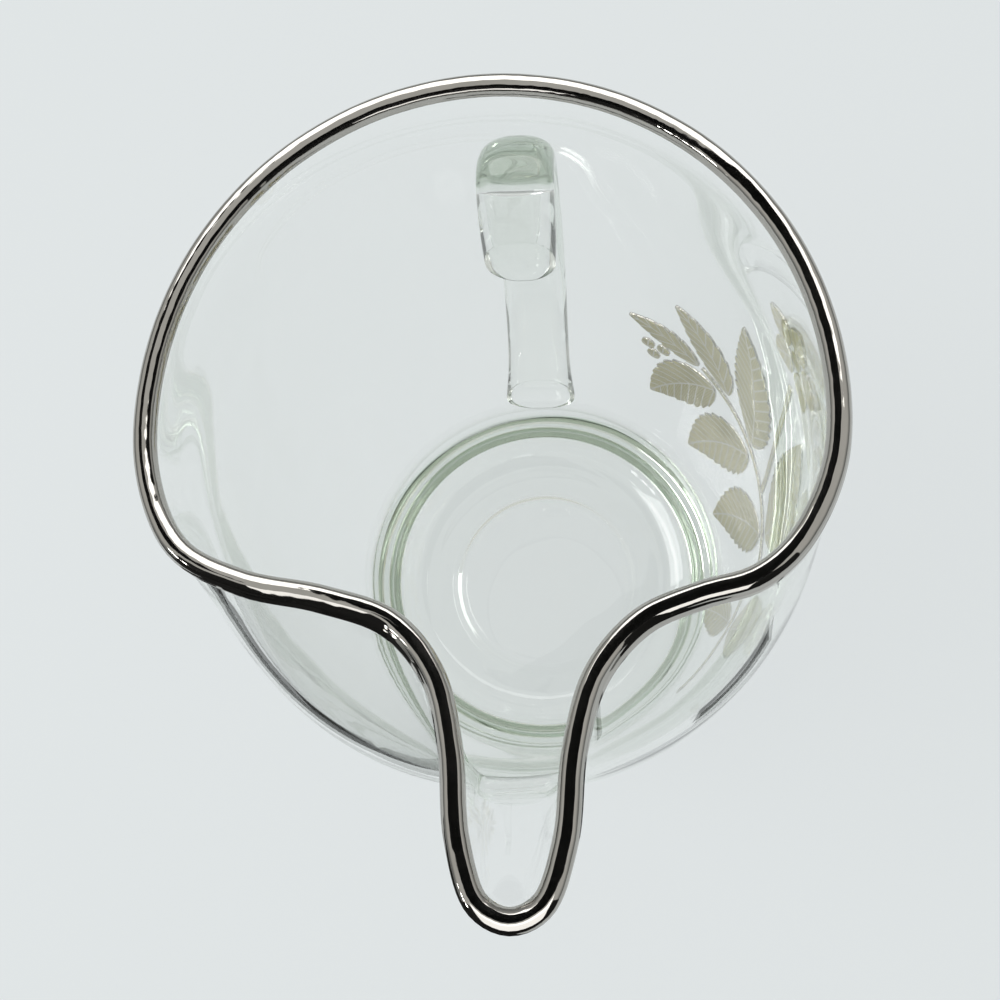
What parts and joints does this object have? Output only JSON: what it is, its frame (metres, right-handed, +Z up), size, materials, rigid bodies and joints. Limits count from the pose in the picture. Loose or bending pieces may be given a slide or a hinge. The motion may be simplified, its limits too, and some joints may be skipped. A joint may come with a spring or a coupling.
{
  "type": "glass pitcher",
  "caption": "Clear glass ice-lip water pitcher with a pinched pouring lip, applied glass handle, silver rim band and silver leaf spray on one side.",
  "frame": {"origin": "middle of the footprint box on the surface that the pitcher stands on; the body's axis is 7.4 mm from it toward the spout", "axes": "+Z up along the body's axis, -Y toward the pouring lip, +Y toward the handle, +X the wall with the silver spray"},
  "size_m": [0.1415, 0.1981, 0.2073],
  "materials": {
    "glass": "clear blown glass with a faint green tint, fire-polished",
    "silver": "polished silver deposit"
  },
  "bodies": {
    "root": {"glass_body": "glass", "handle": "glass", "silver_rim": "silver", "stem": "silver", "blossom_stalk": "silver", "leaf_1": "silver", "leaf_2": "silver", "leaf_3": "silver", "leaf_4": "silver", "leaf_5": "silver", "leaf_6": "silver", "leaf_7": "silver", "leaf_8": "silver", "leaf_9": "silver", "petal_1": "silver", "petal_2": "silver", "petal_3": "silver", "petal_4": "silver", "petal_5": "silver", "blossom_centre": "silver", "berry_1": "silver", "berry_2": "silver", "berry_3": "silver"}
  },
  "joints": []
}
